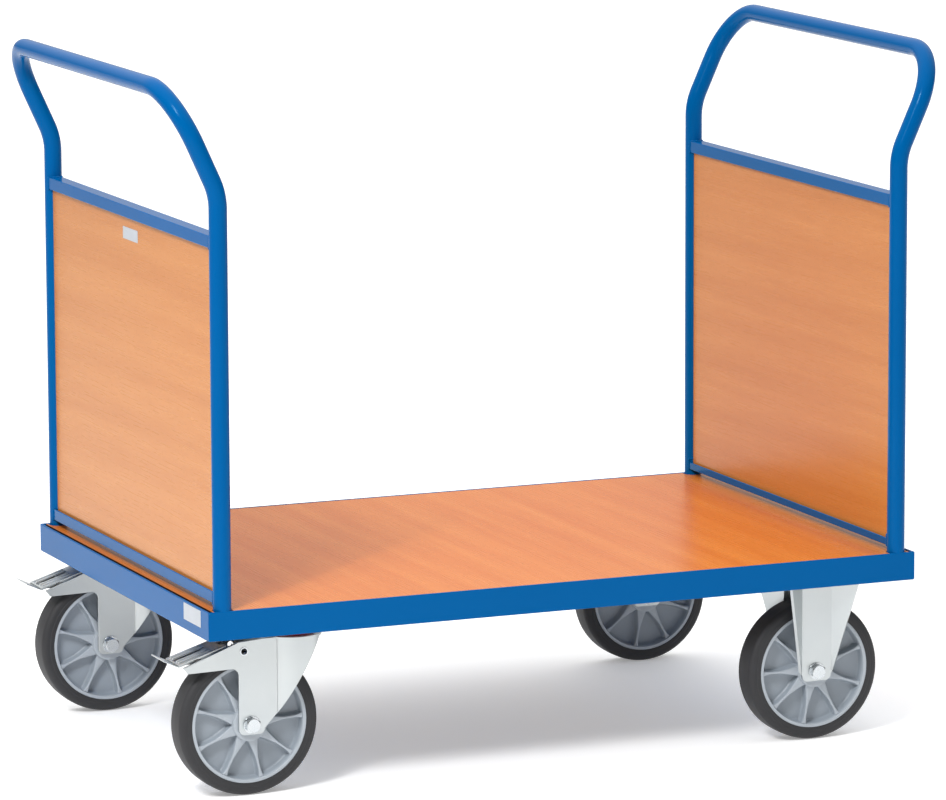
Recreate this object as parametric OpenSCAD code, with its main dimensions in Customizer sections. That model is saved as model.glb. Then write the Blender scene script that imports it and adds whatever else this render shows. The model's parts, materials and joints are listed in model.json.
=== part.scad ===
// Flatbed platform truck with two end walls.
// X runs along the deck, Y across it and Z up from the floor. The swivel casters are
// at the -X end and the fixed ones at the +X end. Right is -Y and left is +Y, as seen
// by someone who stands at the swivel end and looks along the deck.

/* [Platform] */
// Length of the frame over its end rails
frame_l = 1056; // [700:1:1500]
// Width of the frame over its side rails
frame_w = 700; // [600:1:900]
// Height of the frame rails' outer face
rail_h = 40; // [36:1:60]
// Thickness of the rails' steel
rail_t = 3; // [2:0.5:4]
// Width of the ledge that carries the deck board
ledge_w = 28; // [22:1:40]
// Thickness of the deck board
deck_t = 15; // [10:1:20]
// Depth of the board's top below the rails' top edge
deck_drop = 0.5; // [0:0.5:4]
// Gap along the sides of the deck board and round the posts
deck_gap = 1; // [0.5:0.5:4]
// Gap at the ends of the deck board
end_gap = 4.5; // [1:0.5:8]

/* [End walls] */
// Outside diameter of the bent tubes
tube_d = 25; // [20:1:32]
// Wall of the bent tubes
tube_wall = 2; // [1.5:0.5:3]
// Distance from the frame's end to the middle of the posts
post_inset = 24; // [18:1:40]
// Height of the handle bar's centre above the floor
handle_h = 966; // [900:1:1150]
// Distance that the handle bar stands outboard of the posts
handle_reach = 63.5; // [30:0.5:80]
// Lean of the tubes above the wall, in degrees
handle_lean = 24.5; // [15:0.5:30]
// Bend radius where the posts start to lean
lean_r = 90; // [60:1:120]
// Bend radius at the ends of the handle bar
corner_r = 80; // [50:1:120]
// Height of the walls' top edge above the floor
wall_h = 771; // [500:1:790]
// Depth of the channels along the truck
channel_d = 20; // [18:1:22]
// Thickness of the channels' steel
channel_t = 2; // [1:0.5:2.5]
// Height of the top channels
top_channel_h = 17; // [14:1:30]
// Height of the bottom channels' outer lip
bottom_channel_h = 16; // [12:1:24]
// Height of the bottom channels' inner lip
inner_lip_h = 10.5; // [6:0.5:20]
// Gap between the frame's top edge and the bottom channels
wall_gap = 8; // [2:0.5:20]
// Thickness of the end panels
panel_t = 10; // [6:1:12]
// Depth that the panels reach into the top channels
panel_lap = 10; // [4:1:12]

/* [Wheels] */
// Diameter over the tyre
wheel_d = 200; // [160:1:250]
// Width of the tyre
tyre_w = 44; // [36:1:54]
// Thickness of the tyre's rubber at the crown
tyre_t = 17.5; // [12:0.5:24]
// Length of the wheel's hub
hub_w = 50; // [46:1:60]
// Diameter of the wheel's hub
hub_d = 48; // [44:1:56]
// Number of spokes on each side of a wheel
spokes = 9; // [5:1:12]
// Outside diameter of the wheel bearings
bearing_d = 28; // [26:1:38]
// Width of a wheel bearing
bearing_w = 7; // [6:1:15]
// Wall of the tube on the axle bolt
axle_tube_wall = 1.25; // [1:0.25:2]
// Diameter of the axle bolt
axle_d = 12; // [10:1:16]

/* [Casters] */
// Distance from the frame's side to the middle of the casters
caster_inset = 63.4; // [62:0.1:120]
// Distance from the middle of the truck to the swivel axes
swivel_x = 388; // [250:1:450]
// Distance from the middle of the truck to the fixed wheels' axle
fixed_x = 392; // [250:1:450]
// Distance that the swivel wheels trail behind their axis
trail = 67.5; // [55:0.5:75]
// Height of a caster over its wheel
head_h = 41; // [38:1:50]
// Height of the ball race between plate and fork
race_h = 19; // [17:1:22]
// Length of the caster plates along the truck
plate_l = 140; // [130:1:150]
// Width of the caster plates across the truck
plate_w = 120; // [106:1:126]
// Thickness of the caster plates
plate_t = 4; // [3:0.5:6]
// Distance between the plate's bolts along the truck
bolt_l = 105; // [100:1:115]
// Distance between the plate's bolts across the truck
bolt_w = 80; // [76:1:84]
// Diameter of the fixing bolts
bolt_d = 8; // [6:1:8]
// Thickness of the fork cheeks
fork_t = 4; // [3:0.5:5]
// Diameter of the swivel head
head_d = 86; // [84:1:104]
// Diameter of the kingpin
king_d = 14; // [12:1:18]

/* [Brake] */
// Distance from the axle to the tip of the brake wings
wing_l = 97; // [90:1:110]
// Distance from the pedal's pivot to the tread's outer edge
pedal_l = 92.5; // [88:0.5:100]
// Slope of the tread, in degrees
pedal_slope = 17.5; // [14:0.5:20]
// Travel of the pedal, in degrees
pedal_travel = 6.5; // [4:0.5:8]
// Length of the kicked-up release flap
flap_l = 23.5; // [15:0.5:32]
// Slope of the release flap, in degrees
flap_slope = 25; // [10:1:30]

/* [Fits] */
// Radial clearance of a running fit
run_fit = 0.05; // [0.02:0.01:0.1]
// Radial clearance of a bolt in its hole
bolt_fit = 0.5; // [0.2:0.1:1]
// Side clearance between a moving part and its neighbour
side_fit = 0.5; // [0.3:0.1:1]
// Side clearance between the hub and a fork cheek
hub_fit = 1; // [0.5:0.5:3]
// Side clearance between the tyre and a fork cheek, which the pedal's cheeks share
tyre_fit = 4; // [4:0.5:8]

/* [Hidden] */
$fn = 64;
BLUE = [0.0, 0.36, 0.66];
BEECH = [0.88, 0.62, 0.42];
ZINC = [0.80, 0.83, 0.85];
STEEL = [0.62, 0.64, 0.66];
RUBBER = [0.22, 0.22, 0.23];
CORE_GREY = [0.52, 0.54, 0.57];
BLACK = [0.08, 0.08, 0.09];
RED = [0.75, 0.10, 0.12];
WHITE = [0.93, 0.93, 0.93];

// heights, built up from the floor
axle_z = wheel_d / 2;
caster_z = wheel_d + head_h;
plate_z = caster_z - plate_t;
crown_z = plate_z - race_h;
crown_t = fork_t;
beam_t = 3;
deck_rise = 25;
frame_top = caster_z + deck_rise;
frame_bottom = frame_top - rail_h;
board_top = frame_top - deck_drop;
board_z = board_top - deck_t;
ledge_z = board_z - rail_t;

// places in plan
post_x = frame_l / 2 - post_inset;
post_y = frame_w / 2 - tube_d / 2;
caster_y = frame_w / 2 - caster_inset;
beam_w = plate_l + 10;
centre_beam_w = 60;
ledge_in = rail_t + ledge_w;

// end tube
tube_r = tube_d / 2;
lean_t = lean_r * tan(handle_lean / 2);
lean_z = handle_h - handle_reach / tan(handle_lean);
leg_l = handle_reach / sin(handle_lean);
bend_thinning = 0.2;

// wheel and fork
rim_r = wheel_d / 2 - tyre_t;
shoulder_r = 8;
swivel_turn = 3;
fixed_turn = 20;
cheek_in = max(hub_w / 2 + hub_fit, tyre_w / 2 + tyre_fit);
cheek_out = cheek_in + fork_t;
head_r = head_d / 2;
crown_front = -head_r - 11;
leg_half = 18;
foot_drop = 14;
foot_r = 8;
axle_washer_t = 1.6;
axle_tube_d = axle_d + bolt_fit + 2 * axle_tube_wall;
axle_head_r = 0.914 * axle_d;
axle_washer_r = axle_head_r + 1.5;
axle_head_h = 7.5;
axle_nut_h = 10;
axle_end = 3;

// ball race
ball_r = 2.5;
ball_n = 24;
ball_circle_r = 26;
ball_z = crown_z + 2.8;
race_r = 29.5;
race_step = 1.5;
race_gap = 2.6;
dish_z = crown_z + race_step + race_gap;
dish_low_r = 34.5;
dish_top_r = 41;
dish_floor = dish_z + plate_t;
seal_r = 33;
seal_h = 5.2;
seal_z = crown_z + seal_h + side_fit;
king_head_r = 12;
king_head_t = 5;
king_nut_r = 13.86;
king_nut_h = 8;

// brake pedal, measured from its swivel axis and the floor
pivot_u = -trail - 10;
pivot_z = wheel_d + 1.7;
pivot_r = 5.2;
pivot_bore_r = 4.2;
rivet_flange_t = 0.6;
rivet_flange_w = 1;
cheek_t = 2.5;
pedal_half = cheek_in - side_fit;
tread_t = 2;
tread_l = 72;
tread_u = pivot_u - pedal_l;
tread_z = wheel_d - 10.5;
flap_t = 1.8;
flap_lap = 24;
slot_half = 6;
slot_l = 31;
shoe_gap = 0.5;
shoe_half = 17;

// origin: the middle of the whole truck's length, on the floor
reach_fixed = post_x + handle_reach + tube_r;
reach_swivel = max(reach_fixed, swivel_x - tread_u + flap_l * cos(flap_slope));
origin_shift = (reach_swivel - reach_fixed) / 2;

// bolts
nut_h = 6.5;
nut_r = 7.5;
bolt_head_h = 3.3;
bolt_head_r = 8.5;
screw_d = 4.5;
screw_l = 12;
screw_head_h = 2.6;
screw_head_r = 4.5;
side_screw_pitch = 170;
end_screw_pitch = 200;

// ---- placing ----

// the whole truck is drawn about the middle of its frame and moved once, here
module truck() { translate([origin_shift, 0, 0]) children(); }

// side is -1 for the right and 1 for the left, end is -1 for the swivel end and 1 for the fixed
module at_swivel(side) { translate([-swivel_x, side * caster_y, 0]) children(); }
module at_swivel_axle(side) { at_swivel(side) translate([-trail, 0, axle_z]) children(); }
module at_fixed(side) { translate([fixed_x, side * caster_y, 0]) children(); }
module at_fixed_axle(side) { at_fixed(side) translate([0, 0, axle_z]) children(); }
module at_end(end) { mirror([end < 0 ? 1 : 0, 0, 0]) children(); }
module both_sides() { for (s = [-1, 1]) mirror([0, s > 0 ? 0 : 1, 0]) children(); }

// a rod along Y between two places
module rod_y(r, y0, y1, fn = $fn) {
    translate([0, y0, 0]) rotate([-90, 0, 0]) cylinder(r = r, h = y1 - y0, $fn = fn);
}

// a drawing in X and Z, given thickness along Y between two places
module upright(y0, y1) {
    translate([0, y1, 0]) rotate([90, 0, 0]) linear_extrude(y1 - y0) children();
}

// ---- frame ----

// one rail: an upright face with a ledge inside, mitred at both ends
module rail(len, off) {
    translate([0, -off, 0]) {
        translate([0, 0, frame_bottom]) linear_extrude(rail_h) mitred(len, rail_t);
        translate([0, 0, ledge_z]) linear_extrude(rail_t) mitred(len, ledge_in);
    }
}

module mitred(len, depth) {
    polygon([[-len / 2, 0], [len / 2, 0], [len / 2 - depth, depth], [-len / 2 + depth, depth]]);
}

module side_rail(side) {
    color(BLUE) difference() {
        mirror([0, side > 0 ? 1 : 0, 0]) rail(frame_l, frame_w / 2);
        at_deck_screws() screw_hole();
    }
}

module end_rail(end) {
    color(BLUE) difference() {
        rotate([0, 0, 90 * end]) rail(frame_w, frame_l / 2);
        at_deck_screws() screw_hole();
    }
}

// where the screws come up through the ledges
module at_deck_screws() {
    mid = rail_t + ledge_w / 2;
    for (i = [-1.5:1:1.5], s = [-1, 1])
        translate([i * side_screw_pitch, s * (frame_w / 2 - mid), 0]) children();
    for (i = [-1:1:1], s = [-1, 1])
        translate([s * (frame_l / 2 - mid), i * end_screw_pitch, 0]) children();
}

module screw_hole() {
    translate([0, 0, ledge_z - 1]) cylinder(d = screw_d + 2 * bolt_fit, h = rail_t + 2);
}

module deck_screws() {
    color(STEEL) at_deck_screws() {
        translate([0, 0, ledge_z - screw_head_h]) cylinder(r = screw_head_r, h = screw_head_h);
        translate([0, 0, ledge_z - 1]) cylinder(d = screw_d, h = screw_l + 1);
    }
}

// a shallow channel across the frame, under the board and welded below the ledges
module beam(w) {
    inner = frame_w / 2 - rail_t;
    mid = frame_w / 2 - ledge_in;
    translate([-w / 2, -inner, caster_z]) cube([w, 2 * inner, beam_t]);
    for (s = [-1, 1]) translate([s * (w - beam_t) / 2 - beam_t / 2, 0, caster_z]) {
        translate([0, -inner, 0]) cube([beam_t, 2 * inner, ledge_z - caster_z]);
        translate([0, -mid, 0]) cube([beam_t, 2 * mid, board_z - caster_z]);
    }
}

module caster_beam(x) {
    color(BLUE) difference() {
        translate([x, 0, 0]) beam(beam_w);
        for (s = [-1, 1]) translate([x, s * caster_y, 0]) at_plate_bolts()
            translate([0, 0, caster_z - 1]) cylinder(d = bolt_d + 2 * bolt_fit, h = beam_t + 2);
    }
}

module centre_beam() { color(BLUE) beam(centre_beam_w); }

module deck_board() {
    end_edge = rail_t + end_gap;
    side_edge = rail_t + deck_gap;
    color(BEECH) difference() {
        translate([end_edge - frame_l / 2, side_edge - frame_w / 2, board_z])
            cube([frame_l - 2 * end_edge, frame_w - 2 * side_edge, deck_t]);
        for (sx = [-1, 1], sy = [-1, 1]) translate([sx * post_x, sy * post_y, board_z - 1]) {
            cylinder(r = tube_r + deck_gap, h = deck_t + 2);
            translate([-tube_r - deck_gap, sy > 0 ? 0 : -tube_d, 0])
                cube([tube_d + 2 * deck_gap, tube_d, deck_t + 2]);
        }
        at_deck_screws() translate([0, 0, board_z - 1])
            cylinder(d = screw_d, h = screw_l - rail_t + 1);
    }
}

// ---- end walls ----

// a bent rod along the tube's middle line: posts, a lean outwards, and the handle bar.
// The straight stretches run a little way into the bends, where bending has thinned the tube.
module bent_rod(r, foot) {
    lap = 1;
    leg_straight = leg_l - lean_t - corner_r;
    bar_half = post_y - corner_r + lap;
    both_sides() {
        translate([0, post_y, foot]) cylinder(r = r, h = lean_z - lean_t - foot + lap);
        translate([lean_r, post_y, lean_z - lean_t]) rotate([90, 0, 0])
            rotate([0, 0, 180 - handle_lean]) bend(lean_r, handle_lean, r - bend_thinning);
    }
    translate([0, 0, lean_z]) rotate([0, handle_lean, 0]) {
        both_sides() {
            translate([0, post_y, lean_t - lap]) cylinder(r = r, h = leg_straight + 2 * lap);
            translate([0, post_y - corner_r, leg_l - corner_r]) rotate([90, 0, 90])
                bend(corner_r, 90, r - bend_thinning);
        }
        translate([0, 0, leg_l]) rod_y(r, -bar_half, bar_half);
    }
}

module bend(bend_r, angle, r) {
    rotate_extrude(angle = angle) translate([bend_r, 0]) circle(r = r);
}

// the tube's feet stand on the ledges and are cut flat against the side rails
module end_tube(end) {
    $fn = 48;
    color(BLUE) at_end(end) translate([post_x, 0, 0]) difference() {
        bent_rod(tube_r, board_z);
        bent_rod(tube_r - tube_wall, board_z - 1);
        both_sides() translate([-tube_d, frame_w / 2 - rail_t, board_z - 1])
            cube([2 * tube_d, tube_d, frame_top - board_z + 1]);
    }
}

// the posts as solid rods, to cope the channels to
weld_gap = 0.1;
module post_rods() {
    for (s = [-1, 1]) translate([0, s * post_y, 0]) cylinder(r = tube_r + weld_gap, h = handle_h);
}

// a channel between the posts, with its mouth up, or down if it is the top one
module channel(h, mouth_up) {
    difference() {
        translate([-channel_d / 2, -post_y, 0]) cube([channel_d, 2 * post_y, h]);
        translate([channel_t - channel_d / 2, -post_y - 1, mouth_up ? channel_t : -1])
            cube([channel_d - 2 * channel_t, 2 * post_y + 2, h - channel_t + 1]);
        translate([0, 0, -1]) post_rods();
    }
}

module top_channel(end) {
    color(BLUE) at_end(end) translate([post_x, 0, wall_h - top_channel_h])
        channel(top_channel_h, false);
}

// its lip towards the deck is cut lower than the outer one
module bottom_channel(end) {
    color(BLUE) at_end(end) translate([post_x, 0, frame_top + wall_gap]) difference() {
        channel(bottom_channel_h, true);
        translate([-channel_d, -post_y - 1, inner_lip_h])
            cube([channel_d, 2 * post_y + 2, bottom_channel_h]);
    }
}

// the panel stands in the bottom channel, reaches up into the top one and is coped to the posts
panel_z = frame_top + wall_gap + channel_t;
panel_top = wall_h - top_channel_h + panel_lap;
cope_gap = 0.3;
module end_panel(end) {
    color(BEECH) at_end(end) translate([post_x, 0, 0]) difference() {
        translate([-panel_t / 2, -post_y, panel_z]) cube([panel_t, 2 * post_y, panel_top - panel_z]);
        for (s = [-1, 1]) translate([0, s * post_y, panel_z - 1])
            cylinder(r = tube_r + cope_gap, h = panel_top - panel_z + 2);
    }
}

// plastic strips that wedge the panel in its channels, one on each face at top and bottom
module panel_strips() {
    strip_t = (channel_d - panel_t) / 2 - channel_t;
    strip_w = 2 * (post_y - tube_r) - 1;
    top_h = panel_lap - 1;
    color(BLACK) for (end = [-1, 1], face = [-1, 1]) at_end(end)
        translate([post_x + face * (panel_t + strip_t) / 2 - strip_t / 2, -strip_w / 2, 0]) {
            lip_h = face > 0 ? bottom_channel_h : inner_lip_h;
            translate([0, 0, panel_z]) cube([strip_t, strip_w, lip_h - channel_t - 2]);
            translate([0, 0, panel_top - top_h]) cube([strip_t, strip_w, top_h]);
        }
}

// blank labels: one on the swivel end's panel and one on its end rail
module blank_labels() {
    label_t = 0.4;
    panel_label = [label_t, 60, 17];
    rail_label = [label_t, 66, 23];
    color(WHITE) {
        translate([-post_x - panel_t / 2 - label_t, -panel_label[1] / 2 - 4, wall_h - 48.5])
            cube(panel_label);
        translate([-frame_l / 2 - label_t, -caster_y - rail_label[1] / 2, frame_top - rail_label[2] - 3])
            cube(rail_label);
    }
}

// ---- parts that all casters share ----

module at_plate_bolts() {
    for (sx = [-1, 1], sy = [-1, 1]) translate([sx * bolt_l / 2, sy * bolt_w / 2, 0]) children();
}

module at_casters() {
    for (s = [-1, 1]) {
        at_swivel(s) children();
        at_fixed(s) children();
    }
}

module drilled_plate() {
    difference() {
        translate([-plate_l / 2, -plate_w / 2, plate_z]) cube([plate_l, plate_w, plate_t]);
        at_plate_bolts() translate([0, 0, plate_z - 1])
            cylinder(d = bolt_d + 2 * bolt_fit, h = plate_t + 2);
    }
}

// thin round heads on the beam's web, and the nuts below the plate
module caster_bolts() {
    color(STEEL) at_casters() at_plate_bolts() {
        translate([0, 0, caster_z + beam_t]) cylinder(r = bolt_head_r, h = bolt_head_h);
        translate([0, 0, plate_z - nut_h - 1])
            cylinder(d = bolt_d, h = caster_z + beam_t - plate_z + nut_h + 2);
    }
}

module caster_nuts() {
    color(STEEL) at_casters() at_plate_bolts() translate([0, 0, plate_z - nut_h]) difference() {
        cylinder(r = nut_r, h = nut_h, $fn = 6);
        translate([0, 0, -1]) cylinder(d = bolt_d, h = nut_h + 2);
    }
}

// the tube that the fork cheeks clamp, and the bearings run on
module axle_tube() {
    difference() {
        rod_y(axle_tube_d / 2, -cheek_in, cheek_in);
        rod_y(axle_d / 2 + bolt_fit / 2, -cheek_in - 1, cheek_in + 1);
    }
}

// bolt, nut and two washers
module axle_bolt() {
    washer = cheek_out + axle_washer_t;
    rod_y(axle_d / 2, -washer, washer + axle_nut_h + axle_end);
    rod_y(axle_head_r, -washer - axle_head_h, -washer, 6);
    for (s = [-1, 1]) difference() {
        rod_y(axle_washer_r, s > 0 ? cheek_out : -washer, s > 0 ? washer : -cheek_out);
        rod_y(axle_d / 2, -washer - 1, washer + 1);
    }
    difference() {
        rod_y(axle_head_r, washer, washer + axle_nut_h, 6);
        rod_y(axle_d / 2, washer - 1, washer + axle_nut_h + 1);
    }
}

// ---- wheels, drawn about their own axle ----

module spin_y() { rotate([90, 0, 0]) rotate_extrude($fn = 128) children(); }

module tyre() {
    half = tyre_w / 2;
    r = wheel_d / 2;
    color(RUBBER) spin_y() {
        translate([rim_r, -half]) square([tyre_t - shoulder_r, tyre_w]);
        translate([rim_r, shoulder_r - half]) square([tyre_t, tyre_w - 2 * shoulder_r]);
        for (s = [-1, 1]) translate([r - shoulder_r, s * (half - shoulder_r)]) circle(r = shoulder_r);
    }
}

// turn is the angle of the first spoke above the deck's direction
module wheel_core(turn) {
    rim_t = 7;
    web_t = 16;
    rim_w = tyre_w - 1;
    spoke_w = tyre_w - 5;
    seat = bearing_w + 0.5;
    shoulder = bearing_d / 2 - 3;
    color(CORE_GREY) {
        spin_y() difference() {
            union() {
                translate([rim_r - rim_t, -rim_w / 2]) square([rim_t, rim_w]);
                translate([shoulder, -web_t / 2]) square([rim_r - shoulder - 1, web_t]);
                translate([shoulder, -hub_w / 2]) square([hub_d / 2 - shoulder, hub_w]);
            }
            for (s = [-1, 1]) translate([0, s > 0 ? hub_w / 2 - seat : -hub_w / 2 - 1])
                square([bearing_d / 2, seat + 1]);
        }
        for (s = [-1, 1], i = [0:spokes - 1]) rotate([0, -turn - i * 360 / spokes, 0])
            upright(s > 0 ? web_t / 2 - 1 : -spoke_w / 2, s > 0 ? spoke_w / 2 : 1 - web_t / 2)
                spoke(rim_r - rim_t);
    }
}

// a spoke is wide at the hub, narrow along its middle and a little wider at the rim
module spoke(rim) {
    root = 6.5;
    waist = 1.7;
    flare = 3;
    hub = hub_d / 2;
    polygon([[hub - 2, -root], [hub + 22, -waist], [rim - 8, -waist], [rim + 1, -flare],
        [rim + 1, flare], [rim - 8, waist], [hub + 22, waist], [hub - 2, root]]);
}

module bearings() {
    color(STEEL) for (s = [-1, 1]) difference() {
        rod_y(bearing_d / 2, s > 0 ? hub_w / 2 - bearing_w - 0.3 : 0.3 - hub_w / 2,
            s > 0 ? hub_w / 2 - 0.3 : bearing_w + 0.3 - hub_w / 2);
        rod_y(axle_tube_d / 2 + run_fit, -hub_w, hub_w);
    }
}

// ---- swivel casters, drawn about their swivel axis ----

// the plate's middle is pressed down into a dish that holds the upper race
module swivel_top_plates() {
    slope = (dish_top_r - dish_low_r) / (plate_z - dish_z);
    dish_h = plate_z + 1 - seal_z;
    rise = caster_z + 1 - dish_floor;
    well_r = dish_low_r - plate_t - 1;
    color(ZINC) for (s = [-1, 1]) at_swivel(s) difference() {
        union() {
            drilled_plate();
            translate([0, 0, dish_z]) cylinder(r = race_r, h = plate_t);
            translate([0, 0, seal_z])
                cylinder(r1 = dish_low_r, r2 = dish_low_r + slope * dish_h, h = dish_h);
        }
        translate([0, 0, dish_floor]) cylinder(r1 = well_r, r2 = well_r + slope * rise, h = rise);
        translate([0, 0, dish_z - 1]) cylinder(d = king_d, h = plate_t + 2);
        race_groove();
    }
}

module race_groove() {
    translate([0, 0, ball_z]) rotate_extrude() translate([ball_circle_r, 0]) circle(r = ball_r + run_fit);
}

// the head rests in the dish, and the nut holds the fork from below
module kingpins() {
    under = crown_z - crown_t - side_fit;
    color(STEEL) for (s = [-1, 1]) at_swivel(s) {
        translate([0, 0, under - king_nut_h - 2])
            cylinder(d = king_d, h = dish_floor - under + king_nut_h + 3);
        translate([0, 0, dish_floor]) cylinder(r = king_head_r, h = king_head_t);
        translate([0, 0, under - king_nut_h]) difference() {
            cylinder(r = king_nut_r, h = king_nut_h, $fn = 6);
            translate([0, 0, -1]) cylinder(d = king_d, h = king_nut_h + 2);
        }
    }
}

// outline of a cheek: leg down to the axle, and the wing that carries the pedal
module cheek_outline() {
    left = -trail - leg_half;
    right = -trail + leg_half + 1.5;
    foot = axle_z - foot_drop;
    wing_z = wheel_d - 21.5;
    wing_u = -trail - wing_l;
    fillet = 10;
    front = crease_u + 1;
    difference() {
        union() {
            polygon([[left, foot + foot_r], [left + foot_r, foot + foot_r], [left + foot_r, foot],
                [right - foot_r, foot], [right, foot + foot_r], [front, front_z(front)],
                [front, crown_z], [crown_front + 5, crown_z - 0.5], [left, crown_z - 3],
                [wing_u, wheel_d - 14.5], [wing_u + 7, wing_z - 1.5],
                [left - fillet, wing_z], [left - fillet, wing_z - fillet], [left, wing_z - fillet]]);
            translate([left + foot_r, foot + foot_r]) circle(r = foot_r);
            translate([right - foot_r, foot + foot_r]) circle(r = foot_r);
        }
        translate([left - fillet, wing_z - fillet]) circle(r = fillet);
    }
}

// the cheeks are flat up to the crease, and round the head beyond it
crease_u = -sqrt(pow(head_r, 2) - pow(cheek_out, 2));
front_foot = [-trail + leg_half + 6.5, axle_z - 8];
front_head = [head_r - 10, crown_z - 2];
function front_z(u) = front_foot[1]
    + (u - front_foot[0]) * (front_head[1] - front_foot[1]) / (front_head[0] - front_foot[0]);

module swivel_fork() {
    color(ZINC) difference() {
        union() {
            for (s = [-1, 1]) upright(s > 0 ? cheek_in : -cheek_out, s > 0 ? cheek_out : -cheek_in)
                cheek_outline();
            head_skirt();
            translate([0, 0, crown_z - crown_t]) cylinder(r = head_r, h = crown_t);
            translate([crown_front, -cheek_out, crown_z - crown_t - 0.5])
                cube([40, 2 * cheek_out, crown_t]);
            translate([0, 0, crown_z - 1]) cylinder(r = race_r, h = race_step + 1);
        }
        translate([0, 0, crown_z - crown_t - 2])
            cylinder(d = king_d + 2 * run_fit, h = crown_t + race_step + 4);
        race_groove();
        translate([-trail, 0, axle_z]) rod_y(axle_d / 2, -cheek_out - 1, cheek_out + 1);
        translate([pivot_u, 0, pivot_z]) rod_y(pivot_r, -cheek_out - 1, cheek_out + 1);
    }
}

// the round part of the cheeks, cut off along the slanted front edge
module head_skirt() {
    start = crease_u + 0.4;
    low = front_z(crease_u) - 1;
    intersection() {
        translate([0, 0, low]) difference() {
            cylinder(r = head_r, h = crown_z - low);
            translate([0, 0, -1]) cylinder(r = head_r - fork_t, h = crown_z - low + 2);
        }
        upright(-head_r - 1, head_r + 1)
            polygon([[start, front_z(start)], front_head, [front_head[0], crown_z], [start, crown_z]]);
    }
}

module seal_ring() {
    color(RED) translate([0, 0, crown_z]) difference() {
        cylinder(r = seal_r, h = seal_h);
        translate([0, 0, -1]) cylinder(r = race_r + side_fit, h = seal_h + 2);
    }
}

module race_balls() {
    color(STEEL) for (i = [0:ball_n - 1]) rotate([0, 0, i * 360 / ball_n])
        translate([ball_circle_r, 0, ball_z]) sphere(r = ball_r);
}

// ---- brake ----

// hollow rivets, one through each cheek of fork and pedal
module pedal_rivets() {
    inner = pedal_half - cheek_t - 0.2;
    rim_r = pivot_r + rivet_flange_w;
    color(STEEL) translate([pivot_u, 0, pivot_z]) both_sides() difference() {
        union() {
            rod_y(pivot_r, inner - rivet_flange_t, cheek_out + rivet_flange_t);
            rod_y(rim_r, inner - rivet_flange_t, inner);
            rod_y(rim_r, cheek_out, cheek_out + rivet_flange_t);
        }
        rod_y(pivot_bore_r, inner - 1, cheek_out + 1);
    }
}

// a point on the tread's top, measured up the slope from its outer edge
function on_tread(l, drop = 0) = [tread_u + l * cos(pedal_slope) + drop * sin(pedal_slope),
    tread_z + l * sin(pedal_slope) - drop * cos(pedal_slope)];

module brake_pedal() {
    ear_r = 8;
    lip = 6;
    rib_l = 52;
    color(ZINC) difference() {
        union() {
            upright(-pedal_half, pedal_half)
                polygon([on_tread(0), on_tread(tread_l), on_tread(tread_l, tread_t), on_tread(0, tread_t)]);
            for (s = [-1, 1]) upright(s > 0 ? pedal_half - cheek_t : -pedal_half,
                s > 0 ? pedal_half : cheek_t - pedal_half) {
                polygon([on_tread(26, 1), on_tread(tread_l, 1), [pivot_u, pivot_z + ear_r],
                    [pivot_u, pivot_z - ear_r], on_tread(tread_l - 10, 16), on_tread(40, lip + tread_t)]);
                translate([pivot_u, pivot_z]) circle(r = ear_r);
            }
            for (v = [-18, -8, 8, 18]) upright(v - 1.5, v + 1.5)
                polygon([on_tread(2, 1), on_tread(4, -1.6), on_tread(rib_l - 2, -1.6), on_tread(rib_l, 1)]);
        }
        translate([pivot_u, 0, pivot_z]) rod_y(pivot_r + run_fit, -pedal_half - 1, pedal_half + 1);
        upright(-slot_half, slot_half)
            polygon([on_tread(3, -3), on_tread(slot_l, -3), on_tread(slot_l, 6), on_tread(3, 6)]);
    }
}

// a bent strip: riveted under the tread, then kicked up past its edge
module release_flap() {
    half = pedal_half - 1;
    root = on_tread(0, tread_t);
    under = on_tread(flap_lap, tread_t);
    tip = root + flap_l * [-cos(flap_slope), sin(flap_slope)];
    color(ZINC) difference() {
        upright(-half, half) polygon([root, under, on_tread(flap_lap, tread_t + flap_t),
            on_tread(0, tread_t + flap_t), tip + [0, -flap_t], tip]);
        upright(-slot_half - 1, slot_half + 1)
            polygon([on_tread(2, 0), on_tread(flap_lap + 1, 0), on_tread(flap_lap + 1, 6), on_tread(2, 6)]);
    }
}

// the shoe's face lies along the tyre when the pedal is down
module brake_shoe() {
    a = -pedal_travel;
    d = [-trail - pivot_u, axle_z - pivot_z];
    centre = [pivot_u + d[0] * cos(a) - d[1] * sin(a), pivot_z + d[0] * sin(a) + d[1] * cos(a)];
    color(BLACK) upright(-shoe_half, shoe_half) difference() {
        polygon([on_tread(slot_l + 1, tread_t), on_tread(tread_l - 8, tread_t),
            on_tread(tread_l - 4, 40), on_tread(flap_lap + 14, 40)]);
        translate(centre) circle(r = wheel_d / 2 + shoe_gap, $fn = 128);
    }
}

// a strip riveted to the crown's front edge, which bears on the pedal from above
module leaf_spring() {
    t = 1.2;
    half = 7;
    root = [crown_front, crown_z - 0.5];
    front = [-head_r - 1, crown_z - 0.5];
    nose = on_tread(tread_l - 4, -side_fit - 0.8);
    color(BLACK) upright(-half, half)
        polygon([front, front + [0, t], root + [-6, t + 0.6], nose + [0, t], nose, root + [-5, 0]]);
}

// ---- fixed casters, drawn about the middle of their plate ----

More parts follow.
